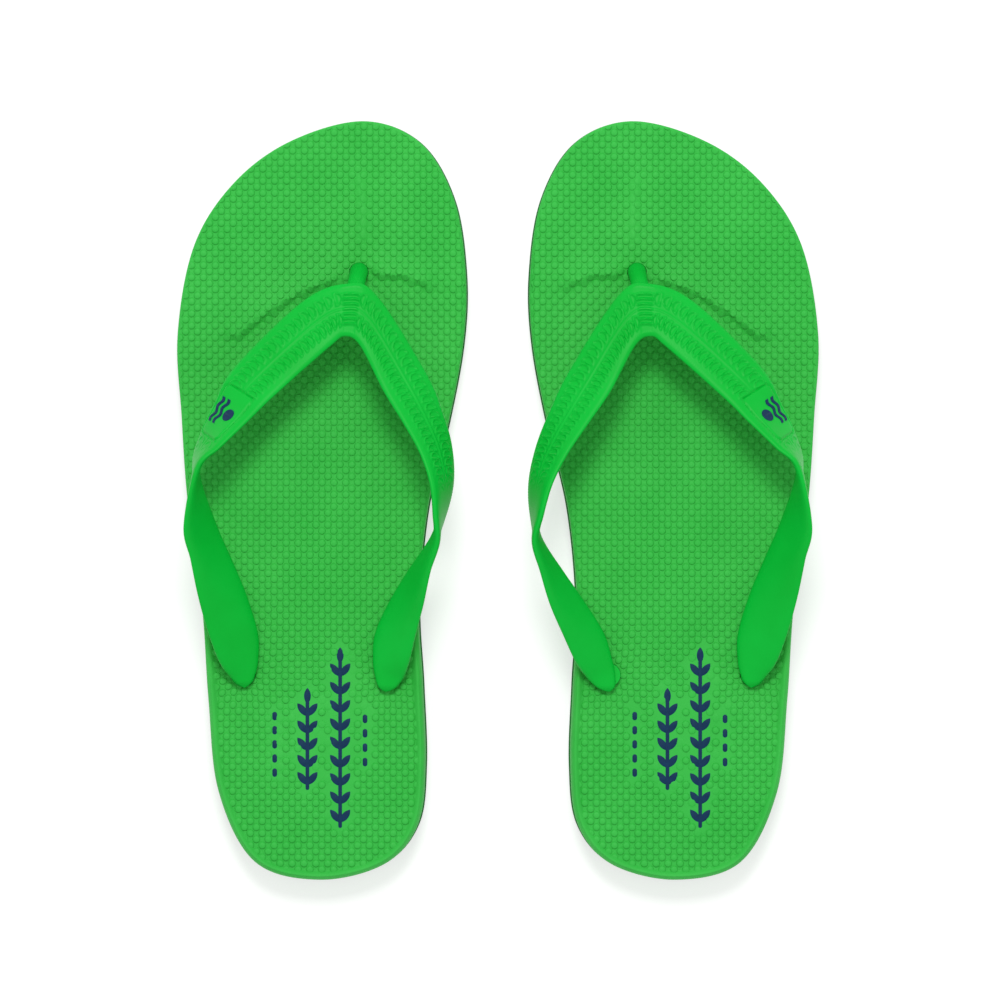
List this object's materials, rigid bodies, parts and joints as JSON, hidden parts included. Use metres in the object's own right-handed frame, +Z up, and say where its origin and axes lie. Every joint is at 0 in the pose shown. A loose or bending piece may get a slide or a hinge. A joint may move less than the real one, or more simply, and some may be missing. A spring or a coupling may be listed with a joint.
{
  "type": "pair of flip flops",
  "caption": "Flat moulded thong sandals, left and right: a bumped foam footbed on a treaded outsole, held on the foot by a one-piece strap with a toe post.",
  "frame": {"origin": "on the floor, at the middle of the box round the pair", "axes": "+Z up, +Y from the heels to the toes, +X to the wearer's right"},
  "size_m": [0.247, 0.2916, 0.0581],
  "materials": {
    "footbed": "matt moulded foam with small round bumps",
    "outsole": "matt moulded foam with cross grooves",
    "strap": "satin moulded strap with embossed crescents",
    "print": "dark blue ink"
  },
  "bodies": {
    "left_sandal": {"left_footbed": "footbed", "left_outsole": "outsole", "left_strap": "strap", "left_emblem": "print", "left_heel_print": "print"},
    "right_sandal": {"right_footbed": "footbed", "right_outsole": "outsole", "right_strap": "strap", "right_emblem": "print", "right_heel_print": "print"}
  },
  "joints": [
    {"name": "right_sandal_slide", "type": "slide", "parent": "left_sandal", "child": "right_sandal", "axis": [1, 0, 0], "range_m": [0, 0.2]}
  ]
}
